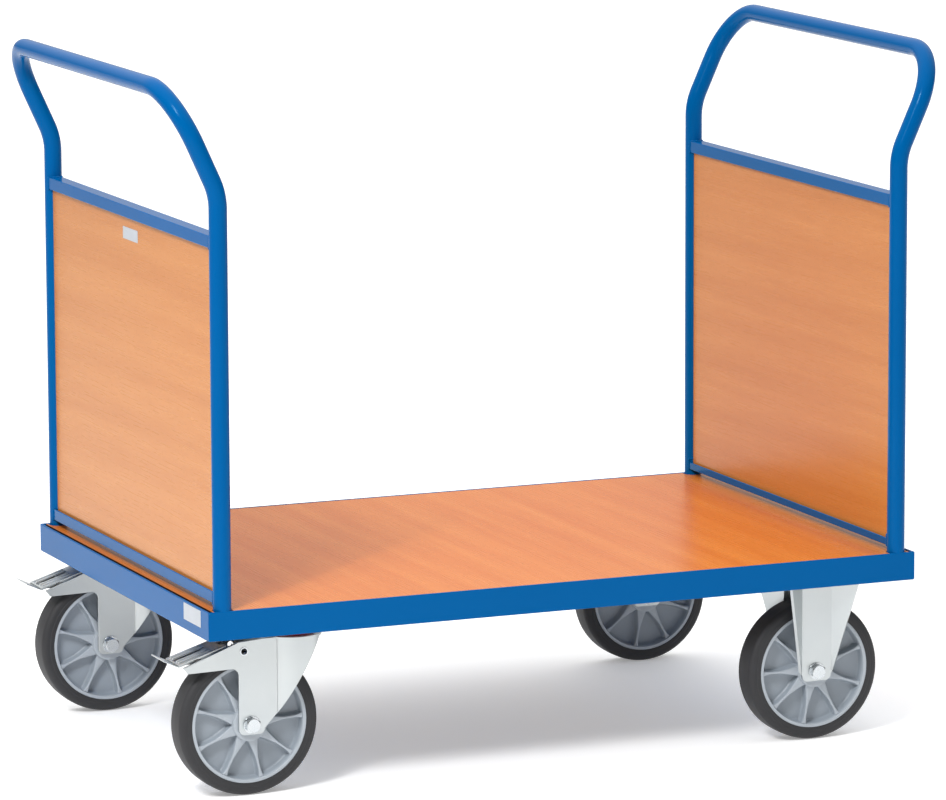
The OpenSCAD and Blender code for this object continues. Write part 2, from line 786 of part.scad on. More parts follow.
module fixed_fork() {
    flat = 23.5;
    foot = axle_z - foot_drop;
    foot_half = 22;
    crease_z = foot + foot_r + 3;
    flange_reach = 31.5;
    flange_foot = 3;
    flare = atan2(plate_w / 2 - cheek_out, flange_reach);
    flange_w = (plate_w / 2 - cheek_out) / sin(flare);
    color(ZINC) difference() {
        union() {
            drilled_plate();
            both_sides() {
                upright(cheek_in, cheek_out) {
                    polygon([[-foot_half, foot + foot_r], [foot_r - foot_half, foot + foot_r],
                        [foot_r - foot_half, foot], [foot_half - foot_r, foot],
                        [foot_half - foot_r, foot + foot_r], [foot_half, foot + foot_r],
                        [flat, crease_z], [flat, plate_z + 1], [-flat, plate_z + 1], [-flat, crease_z]]);
                    for (s = [-1, 1]) translate([s * (foot_half - foot_r), foot + foot_r])
                        circle(r = foot_r);
                }
                for (s = [-1, 1]) translate([s * flat, cheek_in + fork_t / 2, 0]) {
                    translate([0, 0, crease_z]) cylinder(r = fork_t / 2, h = plate_z + 1 - crease_z);
                    rotate([0, 0, s > 0 ? flare : -flare]) upright(-fork_t / 2, fork_t / 2)
                        polygon([[0, crease_z], [s * flange_foot, crease_z + flange_foot],
                            [s * flange_w, plate_z], [s * flange_w, plate_z + 1], [0, plate_z + 1]]);
                }
            }
        }
        translate([0, 0, axle_z]) rod_y(axle_d / 2, -cheek_out - 1, cheek_out + 1);
    }
}

module fixed_axle_bolts() { color(STEEL) for (s = [-1, 1]) at_fixed_axle(s) axle_bolt(); }
module fixed_axle_tubes() { color(STEEL) for (s = [-1, 1]) at_fixed_axle(s) axle_tube(); }

// ---- the nodes ----

RIGHT = -1;
LEFT = 1;
SWIVEL = -1;
FIXED = 1;

truck() side_rail(RIGHT);  // side_rail_right
truck() side_rail(LEFT);  // side_rail_left
truck() end_rail(SWIVEL);  // end_rail_swivel
truck() end_rail(FIXED);  // end_rail_fixed
truck() caster_beam(-swivel_x);  // caster_beam_swivel
truck() caster_beam(fixed_x);  // caster_beam_fixed
truck() centre_beam();
truck() deck_board();
truck() deck_screws();
truck() end_tube(SWIVEL);  // end_tube_swivel
truck() end_tube(FIXED);  // end_tube_fixed
truck() top_channel(SWIVEL);  // top_channel_swivel
truck() top_channel(FIXED);  // top_channel_fixed
truck() bottom_channel(SWIVEL);  // bottom_channel_swivel
truck() bottom_channel(FIXED);  // bottom_channel_fixed
truck() end_panel(SWIVEL);  // end_panel_swivel
truck() end_panel(FIXED);  // end_panel_fixed
truck() panel_strips();
truck() blank_labels();
truck() swivel_top_plates();
truck() kingpins();
truck() at_fixed(RIGHT) fixed_fork();  // fixed_fork_right
truck() at_fixed(LEFT) fixed_fork();  // fixed_fork_left
truck() caster_bolts();
truck() caster_nuts();
truck() fixed_axle_bolts();
truck() fixed_axle_tubes();
truck() at_swivel(RIGHT) swivel_fork();  // swivel_fork_right
truck() at_swivel(LEFT) swivel_fork();  // swivel_fork_left
truck() at_swivel(RIGHT) seal_ring();  // seal_ring_right
truck() at_swivel(LEFT) seal_ring();  // seal_ring_left
truck() at_swivel(RIGHT) race_balls();  // race_balls_right
truck() at_swivel(LEFT) race_balls();  // race_balls_left
truck() at_swivel_axle(RIGHT) color(STEEL) axle_tube();  // axle_tube_right
truck() at_swivel_axle(LEFT) color(STEEL) axle_tube();  // axle_tube_left
truck() at_swivel_axle(RIGHT) color(STEEL) axle_bolt();  // axle_bolt_right
truck() at_swivel_axle(LEFT) color(STEEL) axle_bolt();  // axle_bolt_left
truck() at_swivel(RIGHT) pedal_rivets();  // pedal_rivets_right
truck() at_swivel(LEFT) pedal_rivets();  // pedal_rivets_left
truck() at_swivel(RIGHT) leaf_spring();  // leaf_spring_right
truck() at_swivel(LEFT) leaf_spring();  // leaf_spring_left
truck() at_swivel(RIGHT) brake_pedal();  // brake_pedal_right
truck() at_swivel(LEFT) brake_pedal();  // brake_pedal_left
truck() at_swivel(RIGHT) release_flap();  // release_flap_right
truck() at_swivel(LEFT) release_flap();  // release_flap_left
truck() at_swivel(RIGHT) brake_shoe();  // brake_shoe_right
truck() at_swivel(LEFT) brake_shoe();  // brake_shoe_left
truck() at_swivel_axle(RIGHT) tyre();  // tyre_swivel_right
truck() at_swivel_axle(LEFT) tyre();  // tyre_swivel_left
truck() at_fixed_axle(RIGHT) tyre();  // tyre_fixed_right
truck() at_fixed_axle(LEFT) tyre();  // tyre_fixed_left
truck() at_swivel_axle(RIGHT) wheel_core(swivel_turn);  // core_swivel_right
truck() at_swivel_axle(LEFT) wheel_core(swivel_turn);  // core_swivel_left
truck() at_fixed_axle(RIGHT) wheel_core(fixed_turn);  // core_fixed_right
truck() at_fixed_axle(LEFT) wheel_core(fixed_turn);  // core_fixed_left
truck() at_swivel_axle(RIGHT) bearings();  // bearings_swivel_right
truck() at_swivel_axle(LEFT) bearings();  // bearings_swivel_left
truck() at_fixed_axle(RIGHT) bearings();  // bearings_fixed_right
truck() at_fixed_axle(LEFT) bearings();  // bearings_fixed_left
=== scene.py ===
import json
from math import acos, ceil, cos, pi, radians, sin, tan

import bmesh
import bpy
from mathutils import Matrix, Vector

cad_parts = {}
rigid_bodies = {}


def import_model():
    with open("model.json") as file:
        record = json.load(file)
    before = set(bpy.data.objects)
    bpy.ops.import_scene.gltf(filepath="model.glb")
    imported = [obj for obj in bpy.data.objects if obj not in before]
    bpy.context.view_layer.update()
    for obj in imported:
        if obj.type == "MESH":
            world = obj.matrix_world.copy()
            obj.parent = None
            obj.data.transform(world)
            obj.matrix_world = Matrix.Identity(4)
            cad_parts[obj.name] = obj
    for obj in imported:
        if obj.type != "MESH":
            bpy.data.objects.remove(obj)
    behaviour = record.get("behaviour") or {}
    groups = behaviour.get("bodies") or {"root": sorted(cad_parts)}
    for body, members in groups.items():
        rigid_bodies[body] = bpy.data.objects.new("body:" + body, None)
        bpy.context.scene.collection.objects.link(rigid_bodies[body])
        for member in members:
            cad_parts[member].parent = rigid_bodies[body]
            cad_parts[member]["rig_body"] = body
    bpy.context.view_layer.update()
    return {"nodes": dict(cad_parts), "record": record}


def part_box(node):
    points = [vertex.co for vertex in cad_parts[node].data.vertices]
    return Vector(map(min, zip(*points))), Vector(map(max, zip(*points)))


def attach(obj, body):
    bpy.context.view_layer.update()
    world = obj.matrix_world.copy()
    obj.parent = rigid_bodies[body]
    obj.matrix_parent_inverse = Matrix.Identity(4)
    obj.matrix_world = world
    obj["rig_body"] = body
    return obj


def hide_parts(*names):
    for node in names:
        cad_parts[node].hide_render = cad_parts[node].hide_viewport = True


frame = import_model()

# ---- Frame rails ----
# Four rails folded from 3 mm steel sheet into angles, mitred at the corners, welded and powder
# coated. The board and the posts stand on their inner ledges. Edges are rounded by the fold and
# by the thickness of the coat.


class Wire:
    """One output of a material's node tree, which Python's operators work on."""

    def __init__(self, shade, socket):
        self.shade = shade
        self.socket = socket

    def maths(self, operation, *values):
        return self.shade.node("Math", {"operation": operation}, dict(enumerate(values)))

    def __add__(self, other): return self.maths("ADD", self, other)
    def __radd__(self, other): return self.maths("ADD", other, self)
    def __sub__(self, other): return self.maths("SUBTRACT", self, other)
    def __mul__(self, other): return self.maths("MULTIPLY", self, other)
    def __rmul__(self, other): return self.maths("MULTIPLY", other, self)

    def fade(self, low, high):
        """0 where the value is below low, 1 above high, and smooth between them."""
        limits = {"From Min": low, "From Max": high, "Value": self}
        return self.shade.node("MapRange", {"interpolation_type": "SMOOTHSTEP"}, limits)


class Shade:
    """A material made of one Principled shader, and whatever nodes feed it."""

    def __init__(self, name):
        self.material = bpy.data.materials.new(name)
        self.material.use_nodes = True
        self.tree = self.material.node_tree
        self.shader = self.tree.nodes["Principled BSDF"]
        self.place = self.node("TexCoord", out="Object")

    def node(self, kind, settings=None, links=None, out=0):
        made = self.tree.nodes.new("ShaderNode" + kind)
        for name, value in (settings or {}).items():
            setattr(made, name, value)
        sockets = {s.identifier: s for s in made.inputs}
        for name, value in (links or {}).items():
            self.join(value, sockets.get(name) or made.inputs[name])
        results = {s.identifier: s for s in made.outputs}
        return Wire(self, results.get(out) or made.outputs[out])

    def join(self, value, socket):
        if isinstance(value, Wire):
            self.tree.links.new(value.socket, socket)
        else:
            socket.default_value = value

    def noise(self, scale, stretch=(1, 1, 1), detail=2.0, rough=0.5, at=None):
        """Soft noise; scale is in patches per metre, and stretch gives each axis its share."""
        spot = self.node("Mapping", links={"Vector": at or self.place, "Scale": stretch})
        links = {"Vector": spot, "Scale": scale, "Detail": detail, "Roughness": rough}
        return self.node("TexNoise", links=links)

    def part(self, axis):
        """The place along X, Y or Z, in metres."""
        return self.node("SeparateXYZ", links={"Vector": self.place}, out=axis)

    def mix(self, share, first, second):
        first, second = [c if isinstance(c, Wire) else (*c, 1) for c in (first, second)]
        links = {"Factor_Float": share, "A_Color": first, "B_Color": second}
        return self.node("Mix", {"data_type": "RGBA"}, links, out="Result_Color")

    def bump(self, height, depth):
        """A bump whose full height is depth, in metres."""
        return self.node("Bump", links={"Height": height, "Distance": depth, "Strength": 1.0})

    def finish(self, **links):
        for name, value in links.items():
            colour = name.endswith(("Color", "Tint")) and not isinstance(value, Wire)
            self.join((*value, 1) if colour else value, self.shader.inputs[name.replace("_", " ")])
        return self.material


def blue_powder_coat():
    """Glossy coat with a faint orange peel, slight clouds, and fine rubbed marks."""
    shade = Shade("blue_powder_coat")
    cloud = shade.noise(4, detail=3)
    rubbed = shade.noise(60, stretch=(0.12, 0.12, 1), detail=4).fade(0.56, 0.75)
    peel = shade.noise(650, detail=1)
    return shade.finish(
        Base_Color=shade.mix(cloud, (0.0, 0.089, 0.285), (0.0, 0.101, 0.318)),
        Roughness=0.12 + 0.06 * cloud + 0.08 * rubbed,
        Normal=shade.bump(peel, 0.00002),
        Specular_IOR_Level=0.08,
        Specular_Tint=(0.45, 0.85, 1.0),
    )


def body_of(node):
    return frame["nodes"][node]["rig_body"]


def slot_of(node):
    return next(s["material_slot"] for s in frame["record"]["subparts"] if s["node"] == node)


def make(name, bm, material, smooth=40):
    """A piece from a bmesh: faces outwards, smooth except at edges sharper than smooth."""
    bmesh.ops.recalc_face_normals(bm, faces=bm.faces)
    return keep(name, bm, material, smooth)


def keep(name, bm, material, smooth=40):
    for face in bm.faces:
        face.smooth = True
    for edge in bm.edges:
        edge.smooth = len(edge.link_faces) == 2 and edge.calc_face_angle(0) < radians(smooth)
    mesh = bpy.data.meshes.new(name)
    bm.to_mesh(mesh)
    bm.free()
    mesh.materials.append(material)
    piece = bpy.data.objects.new(name, mesh)
    bpy.context.scene.collection.objects.link(piece)
    return piece


def stand_for(piece, *nodes):
    """The piece takes the place of CAD nodes that all ride on one body."""
    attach(piece, body_of(nodes[0]))
    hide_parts(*nodes)
    slot_of(nodes[0])


def paint(node, material):
    """The CAD's own mesh, in another material."""
    slots = frame["nodes"][node].data.materials
    slots.clear()
    slots.append(material)


def merged_copy(node):
    """The CAD node's mesh with its flat faces in one piece each."""
    bm = bmesh.new()
    bm.from_mesh(frame["nodes"][node].data)
    bmesh.ops.remove_doubles(bm, verts=bm.verts, dist=2e-6)
    bmesh.ops.dissolve_limit(bm, angle_limit=radians(0.4), verts=bm.verts, edges=bm.edges)
    return bm


def soften(node, width, material, segments=3):
    """The piece that a CAD node stands for, with its edges rounded, or sharp where width is 0."""
    piece = keep(node + "_made", merged_copy(node), material)
    if width:
        edges = piece.modifiers.new("rounded_edges", "BEVEL")
        edges.width = width
        edges.segments = segments
        edges.limit_method = "ANGLE"
        edges.angle_limit = radians(38)
        edges.use_clamp_overlap = False
    even = piece.modifiers.new("even_faces", "WEIGHTED_NORMAL")
    even.keep_sharp = True
    stand_for(piece, node)
    return piece


BLUE = blue_powder_coat()
rail_edge = 0.0012
for rail in ("side_rail_right", "side_rail_left", "end_rail_swivel", "end_rail_fixed"):
    soften(rail, rail_edge, BLUE)

# ---- Cross beams ----
# Shallow channels folded from 3 mm sheet, welded across the frame under the board. Two carry
# the casters and the middle one stiffens the board.
beam_edge = 0.0010
for beam in ("caster_beam_swivel", "caster_beam_fixed", "centre_beam"):
    soften(beam, beam_edge, BLUE)

# ---- Deck board ----
# A wood board with a beech decor on both faces and sealed edges, dropped into the frame on the ledges and
# screwed from below. Its ends are nearly black: painted shade for the gap along the end rails. The grain
# runs across the truck.


def beech_decor(name, light, dark, edge_x, low_z, gloss):
    """Beech: drifting bands, long fibres, short dark pores; painted shade darkens the ends at edge_x,
    plain backing at low_z.
    """
    shade = Shade(name)
    drift = shade.noise(5, stretch=(1, 0.3, 1), detail=2)
    grain = (1, 0.035, 1)
    along = shade.node("Mapping", links={"Vector": shade.place, "Scale": grain})
    bands = shade.node(
        "TexWave",
        {"wave_type": "BANDS", "bands_direction": "DIAGONAL", "wave_profile": "SIN"},
        {"Vector": along, "Scale": 9.0, "Distortion": 5.0, "Detail": 3.0, "Detail Scale": 1.5},
        out=1,
    )
    fibres = shade.noise(330, stretch=grain, detail=4, rough=0.6)
    streaks = shade.noise(70, stretch=grain, detail=3)
    pores = shade.noise(1500, stretch=(1, 0.22, 1), detail=1).fade(0.64, 0.72)
    tone = 0.30 * bands + 0.30 * streaks.fade(0.3, 0.7) + 0.25 * fibres.fade(0.3, 0.7) + 0.25 * drift
    wood = shade.mix(0.45 * pores, shade.mix(tone, light, dark), (0.26, 0.09, 0.03))
    across = shade.part("X")
    # Painted shade: within skin of edge_x, the board's ends turn nearly black, standing in for the
    # shadowed gap along the end rails.
    edge = across.maths("ABSOLUTE", across).fade(edge_x - skin, edge_x)
    wood = shade.mix(shade.part("Z").fade(low_z, low_z + skin), (0.27, 0.21, 0.16), wood)
    return shade.finish(
        Base_Color=shade.mix(edge, wood, (0.020, 0.010, 0.006)),
        Roughness=0.24 + 0.08 * fibres + 0.10 * pores,
        Normal=shade.bump(fibres * 0.5 - 0.5 * pores, 0.00005),
        Specular_IOR_Level=gloss,
    )


skin = 0.0004
deck_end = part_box("deck_board")[1][0]
deck_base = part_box("deck_board")[0][2]
DECK_BEECH = beech_decor(
    "deck_beech", (0.68, 0.225, 0.042), (0.58, 0.155, 0.022), deck_end, deck_base, gloss=0.10
)
board_edge = 0.0005
soften("deck_board", board_edge, DECK_BEECH)

# ---- Bent end tubes ----
# One 25 mm steel tube at each end, bent into two posts that lean outwards at the top and meet
# in the handle bar. The feet stand on the frame's ledges and are welded there.
tube_r = 0.0125
lean = radians(24.5)
lean_r = 0.090
corner_r = 0.080


def rounded(corners, radii, step=radians(4)):
    """The points along a line through corners, with each inner corner turned into an arc."""
    points = [Vector(corners[0])]
    for before, at, after, r in zip(corners, corners[1:], corners[2:], radii):
        at = Vector(at)
        back = (Vector(before) - at).normalized()
        on = (Vector(after) - at).normalized()
        half = back.angle(on) / 2
        if r <= 0 or half > radians(89.9):
            points.append(at)
            continue
        centre = at + (back + on).normalized() * (r / sin(half))
        first = at + back * (r / tan(half)) - centre
        last = at + on * (r / tan(half)) - centre
        turn = pi - 2 * half
        count = max(2, ceil(turn / step))
        for i in range(count + 1):
            here = i * turn / count
            points.append(centre + (first * sin(turn - here) + last * sin(here)) / sin(turn))
    points.append(Vector(corners[-1]))
    return points


def sweep_tree():
    """Geometry nodes that sweep a round section along a curve."""
    tree = bpy.data.node_groups.new("swept_tube", "GeometryNodeTree")
    face = tree.interface
    face.new_socket("Path", in_out="INPUT", socket_type="NodeSocketGeometry")
    face.new_socket("Radius", in_out="INPUT", socket_type="NodeSocketFloat")
    face.new_socket("Sides", in_out="INPUT", socket_type="NodeSocketInt")
    face.new_socket("Material", in_out="INPUT", socket_type="NodeSocketMaterial")
    face.new_socket("Tube", in_out="OUTPUT", socket_type="NodeSocketGeometry")
    nodes, link = tree.nodes, tree.links.new
    given = nodes.new("NodeGroupInput").outputs
    ring = nodes.new("GeometryNodeCurvePrimitiveCircle")
    sweep = nodes.new("GeometryNodeCurveToMesh")
    sweep.inputs["Fill Caps"].default_value = True
    soft = nodes.new("GeometryNodeSetShadeSmooth")
    real = nodes.new("GeometryNodeRealizeInstances")
    paint = nodes.new("GeometryNodeSetMaterial")
    link(given["Radius"], ring.inputs["Radius"])
    link(given["Sides"], ring.inputs["Resolution"])
    link(given["Path"], sweep.inputs["Curve"])
    link(ring.outputs["Curve"], sweep.inputs["Profile Curve"])
    link(sweep.outputs["Mesh"], soft.inputs["Geometry"])
    link(soft.outputs["Geometry"], real.inputs["Geometry"])
    link(real.outputs["Geometry"], paint.inputs["Geometry"])
    link(given["Material"], paint.inputs["Material"])
    link(paint.outputs["Geometry"], nodes.new("NodeGroupOutput").inputs["Tube"])
    return tree


def grown(name, source, tree, **values):
    """A plain mesh object that a geometry nodes tree makes out of a source object."""
    modifier = source.modifiers.new("grow", "NODES")
    modifier.node_group = tree
    for item in tree.interface.items_tree:
        if item.item_type == "SOCKET" and item.in_out == "INPUT" and item.name in values:
            modifier[item.identifier] = values[item.name]
    source.update_tag()
    graph = bpy.context.evaluated_depsgraph_get()
    mesh = bpy.data.meshes.new_from_object(source.evaluated_get(graph), depsgraph=graph)
    source.modifiers.remove(modifier)
    bpy.data.objects.remove(source)
    mesh.name = name
    piece = bpy.data.objects.new(name, mesh)
    bpy.context.scene.collection.objects.link(piece)
    return piece


def line_object(paths):
    """A curve object of straight-segment splines through the given lists of points."""
    curve = bpy.data.curves.new("path", "CURVE")
    curve.dimensions = "3D"
    for path in paths:
        spline = curve.splines.new("POLY")
        spline.points.add(len(path) - 1)
        for spot, point in zip(spline.points, path):
            spot.co = (*point, 1)
    holder = bpy.data.objects.new("path", curve)
    bpy.context.scene.collection.objects.link(holder)
    return holder


def end_tube_line(end):
    """The middle line of one end tube; end is -1 at the swivel end and 1 at the fixed end."""
    low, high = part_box("end_tube_swivel" if end < 0 else "end_tube_fixed")
    inner = low[0] if end > 0 else high[0]
    outer = high[0] if end > 0 else low[0]
    post_x = inner + end * tube_r
    bar_x = outer - end * tube_r
    post_y = high[1] - tube_r
    bar_z = high[2] - tube_r
    vertex_z = bar_z - abs(bar_x - post_x) / tan(lean)
    corners = [
        (post_x, -post_y, low[2]), (post_x, -post_y, vertex_z), (bar_x, -post_y, bar_z),
        (bar_x, post_y, bar_z), (post_x, post_y, vertex_z), (post_x, post_y, low[2]),
    ]
    return rounded(corners, (lean_r, corner_r, corner_r, lean_r), step=radians(2.5))


TUBE_TREE = sweep_tree()
for end, place in ((-1, "swivel"), (1, "fixed")):
    line = line_object([end_tube_line(end)])
    tube = grown(f"end_tube_{place}_made", line, TUBE_TREE, Radius=tube_r, Sides=48, Material=BLUE)
    stand_for(tube, "end_tube_" + place)

# ---- Wall channels ----
# Folded channels of 2 mm sheet between the posts, coped to the tubes and welded. The panel
# stands in the lower one and reaches up into the upper one.
channel_edge = 0.0008
for place in ("swivel", "fixed"):
    soften("top_channel_" + place, channel_edge, BLUE)
    soften("bottom_channel_" + place, channel_edge, BLUE)

# ---- Weld beads ----
# Each channel is welded to its posts round the cope. The beads are short runs of overlapping
# ripples, coated with the frame.
bead_r = 0.0016
bead_step = 0.0011


def bead_tree():
    """Geometry nodes that lay overlapping ripples along curves."""
    tree = bpy.data.node_groups.new("weld_beads", "GeometryNodeTree")
    face = tree.interface
    face.new_socket("Path", in_out="INPUT", socket_type="NodeSocketGeometry")
    for name in ("Radius", "Step"):
        face.new_socket(name, in_out="INPUT", socket_type="NodeSocketFloat")
    face.new_socket("Seed", in_out="INPUT", socket_type="NodeSocketInt")
    face.new_socket("Material", in_out="INPUT", socket_type="NodeSocketMaterial")
    face.new_socket("Beads", in_out="OUTPUT", socket_type="NodeSocketGeometry")
    nodes, link = tree.nodes, tree.links.new
    given = nodes.new("NodeGroupInput").outputs
    spots = nodes.new("GeometryNodeCurveToPoints")
    spots.mode = "LENGTH"
    drop = nodes.new("GeometryNodeMeshUVSphere")
    drop.inputs["Segments"].default_value = 10
    drop.inputs["Rings"].default_value = 6
    size = nodes.new("FunctionNodeRandomValue")
    size.data_type = "FLOAT"
    size.inputs[2].default_value = 0.85
    size.inputs[3].default_value = 1.15
    lay = nodes.new("GeometryNodeInstanceOnPoints")
    soft = nodes.new("GeometryNodeSetShadeSmooth")
    real = nodes.new("GeometryNodeRealizeInstances")
    paint = nodes.new("GeometryNodeSetMaterial")
    link(given["Path"], spots.inputs["Curve"])
    link(given["Step"], spots.inputs["Length"])
    link(given["Radius"], drop.inputs["Radius"])
    link(given["Seed"], size.inputs["Seed"])
    link(spots.outputs["Points"], lay.inputs["Points"])
    link(drop.outputs["Mesh"], lay.inputs["Instance"])
    link(size.outputs[1], lay.inputs["Scale"])
    link(lay.outputs["Instances"], real.inputs["Geometry"])
    link(real.outputs["Geometry"], soft.inputs["Geometry"])
    link(soft.outputs["Geometry"], paint.inputs["Geometry"])
    link(given["Material"], paint.inputs["Material"])
    link(paint.outputs["Geometry"], nodes.new("NodeGroupOutput").inputs["Beads"])
    return tree


def cope_run(post_x, post_y, side, low, high):
    """A weld's path: up the channel's outer corner, over its top along the cope, and down."""
    half = (high[0] - low[0]) / 2
    middle = (high[0] + low[0]) / 2
    reach = tube_r + 0.0003
    slant = acos(half / reach) if half < reach else 0
    face_y = post_y - side * reach * sin(slant)
    rim = [
        (middle + half * cos(a), post_y - side * reach * sin(a), high[2])
        for a in (slant + i * (pi - 2 * slant) / 10 for i in range(11))
    ]
    start = (high[0], face_y, low[2])
    finish = (low[0], face_y, low[2])
    return [start, (high[0], face_y, high[2]), *rim, (low[0], face_y, high[2]), finish]


BEAD_TREE = bead_tree()
weld_paths = []
for place in ("swivel", "fixed"):
    tube_low, tube_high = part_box("end_tube_" + place)
    post_x = tube_high[0] - tube_r if place == "swivel" else tube_low[0] + tube_r
    for level in ("top_channel_", "bottom_channel_"):
        low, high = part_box(level + place)
        for side in (-1, 1):
            weld_paths.append(cope_run(post_x, side * (tube_high[1] - tube_r), side, low, high))
beads = grown("weld_beads", line_object(weld_paths), BEAD_TREE,
              Radius=bead_r, Step=bead_step, Seed=4, Material=BLUE)
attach(beads, "truck_frame")

# ---- End panels ----
# Wood boards with the same beech decor as the deck, cut to stand between the posts. Plastic strips in the
# channels wedge them so that they don't rattle; the strips are black as painted shade of the dark gaps
# beside the panels.
PANEL_BEECH = beech_decor(
    "panel_beech", (0.60, 0.240, 0.058), (0.51, 0.178, 0.034), edge_x=1.0, low_z=-1.0, gloss=0.25
)


def black_plastic():
    """Matt extruded plastic with a fine grain."""
    shade = Shade("black_plastic")
    grain = shade.noise(900, detail=2)
    return shade.finish(
        Base_Color=shade.mix(grain, (0.012, 0.012, 0.014), (0.03, 0.03, 0.033)),
        Roughness=0.55 + 0.15 * grain,
        Normal=shade.bump(grain, 0.00004),
    )


BLACK = black_plastic()
for place in ("swivel", "fixed"):
    soften("end_panel_" + place, board_edge, PANEL_BEECH)
# Painted shade: the strips' black stands in for the shade in the channels' gaps.
soften("panel_strips", 0.0005, BLACK)


# ---- Labels ----
# Two blank rectangles of white film, stuck to the swivel end's panel and to its end rail.
def label_film():
    """Satin white film, a little yellowed in places."""
    shade = Shade("label_film")
    age = shade.noise(40, detail=3)
    return shade.finish(
        Base_Color=shade.mix(age, (0.48, 0.51, 0.56), (0.42, 0.45, 0.48)),
        Roughness=0.35 + 0.1 * age,
        Normal=shade.bump(shade.noise(300), 0.00002),
    )


soften("blank_labels", 0.00015, label_film(), segments=2)


# ---- Zinc casters: plates, forks and pedals ----
# Pressed from 4 mm steel and bright zinc plated. The top plates bolt to the beams; the forks
# carry the wheels; the pedals pivot in the fork's wings. Cut edges are slightly rounded, apart
# from the fixed forks' sharp ones.
def zinc_plate():
    """Bright zinc: soft clouds, a faint colour play, and fine press marks."""
    shade = Shade("zinc_plate")
    cloud = shade.noise(16, detail=4)
    play = shade.noise(7, detail=2)
    marks = shade.noise(420, stretch=(1, 1, 0.12), detail=3)
    cool = shade.mix(cloud, (0.45, 0.49, 0.52), (0.58, 0.61, 0.62))
    return shade.finish(
        Base_Color=shade.mix(0.45 * play, cool, (0.56, 0.57, 0.53)),
        Metallic=0.92,
        Roughness=0.24 + 0.10 * cloud + 0.08 * marks,
        Normal=shade.bump(marks * 0.4 + cloud, 0.00006),
    )


def middle_of(node):
    low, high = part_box(node)
    return (Vector(low) + Vector(high)) / 2


ZINC = zinc_plate()
plate_edge = 0.0006
tread_edge = 0.0005
for node in ("swivel_top_plates", "swivel_fork_right", "swivel_fork_left"):
    soften(node, plate_edge, ZINC)
for side in ("right", "left"):
    soften("fixed_fork_" + side, 0, ZINC)
for side in ("right", "left"):
    soften("brake_pedal_" + side, tread_edge, ZINC)
    soften("release_flap_" + side, tread_edge, ZINC)

# ---- Swivel heads ----
# A ring of hardened balls between plate and fork, with a red plastic seal round it, and a
# kingpin and nut that hold the fork up.


def outline(corners, radii):
    """A closed outline with its corners turned into arcs."""
    loop = [corners[-1], *corners, corners[0]]
    flat = [(r, h, 0) for r, h in loop]
    return [(p.x, p.y) for p in rounded(flat, radii, step=radians(12))[1:-1]]


def lathe(bm, loop, centre, axis="Y", segments=128):
    """Turns a closed outline of (radius, height) points about an axis through centre."""
    rings = []
    for i in range(segments):
        u, v = cos(2 * pi * i / segments), sin(2 * pi * i / segments)
        ring = [(r * u, h, r * v) if axis == "Y" else (r * u, r * v, h) for r, h in loop]
        rings.append([bm.verts.new(centre + Vector(p)) for p in ring])
    for a, b in zip(rings, rings[1:] + rings[:1]):
        for i in range(len(loop)):
            j = (i + 1) % len(loop)
            bm.faces.new((a[i], b[i], b[j], a[j]))


def red_plastic():
    """Semi-gloss moulded plastic."""
    shade = Shade("red_plastic")
    flow = shade.noise(90, detail=2)
    return shade.finish(
        Base_Color=shade.mix(flow, (0.50, 0.012, 0.02), (0.62, 0.02, 0.03)),
        Roughness=0.32 + 0.1 * flow,
        Normal=shade.bump(shade.noise(500), 0.00003),
    )


def bright_steel():
    """Zinc plated or ground steel of bolts, nuts, balls and bearings."""
    shade = Shade("bright_steel")
    cloud = shade.noise(60, detail=3)
    return shade.finish(
        Base_Color=shade.mix(cloud, (0.50, 0.54, 0.57), (0.64, 0.66, 0.67)),
        Metallic=0.95,
        Roughness=0.20 + 0.12 * cloud,
        Normal=shade.bump(shade.noise(800), 0.00002),
    )


RED = red_plastic()
STEEL = bright_steel()
seal_lip = 0.0012
seal_wall = 0.003
for side in ("right", "left"):
    node = "seal_ring_" + side
    low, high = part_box(node)
    outer = (high[0] - low[0]) / 2
    height = high[2] - low[2]
    corners = [(outer - seal_wall, 0), (outer, 0), (outer, height * 0.45), (outer - 0.0007, height * 0.6),
               (outer - 0.0003, height), (outer - seal_wall, height)]
    bm = bmesh.new()
    centre = Vector((*middle_of(node)[:2], low[2]))
    lathe(bm, outline(corners, (0.0004, 0.0004, 0.0008, 0.0008, seal_lip, seal_lip)), centre, "Z")
    stand_for(make(node + "_made", bm, RED), node)
    paint("race_balls_" + side, STEEL)


# ---- Brake springs, shoes and rivets ----
# A blued leaf spring and a rubber shoe work each pedal, and hollow rivets are its pivots.
def blued_steel():
    """Dark spring steel with heat clouds."""
    shade = Shade("blued_steel")
    heat = shade.noise(70, detail=3)
    return shade.finish(
        Base_Color=shade.mix(heat, (0.06, 0.07, 0.10), (0.16, 0.15, 0.14)),
        Metallic=0.9,
        Roughness=0.35 + 0.15 * heat,
    )


BLUED = blued_steel()
for side in ("right", "left"):
    soften("leaf_spring_" + side, 0.0003, BLUED)
    soften("brake_shoe_" + side, 0.0010, BLACK)
    soften("pedal_rivets_" + side, 0.00025, STEEL)


# ---- Tyres ----
# Solid elastic rubber, moulded on the wheel cores, with a bead at the rim and rounded shoulders.
def tyre_rubber():
    """Dark grey rubber: fine pits, dusty patches, and a slight sheen."""
    shade = Shade("tyre_rubber")
    dust = shade.noise(26, detail=5, rough=0.6)
    pits = shade.noise(1100, detail=2)
    return shade.finish(
        Base_Color=shade.mix(dust, (0.019, 0.019, 0.021), (0.034, 0.034, 0.037)),
        Roughness=0.50 + 0.18 * dust,
        Normal=shade.bump(pits, 0.00005),
        Specular_IOR_Level=0.4,
    )


def both_sides(side):
    """An outline from its upper half, given as (radius, height, rounding), mirrored at height 0."""
    whole = side + [(r, -h, f) for r, h, f in reversed(side)]
    return outline([(r, h) for r, h, f in whole], [f for r, h, f in whole])


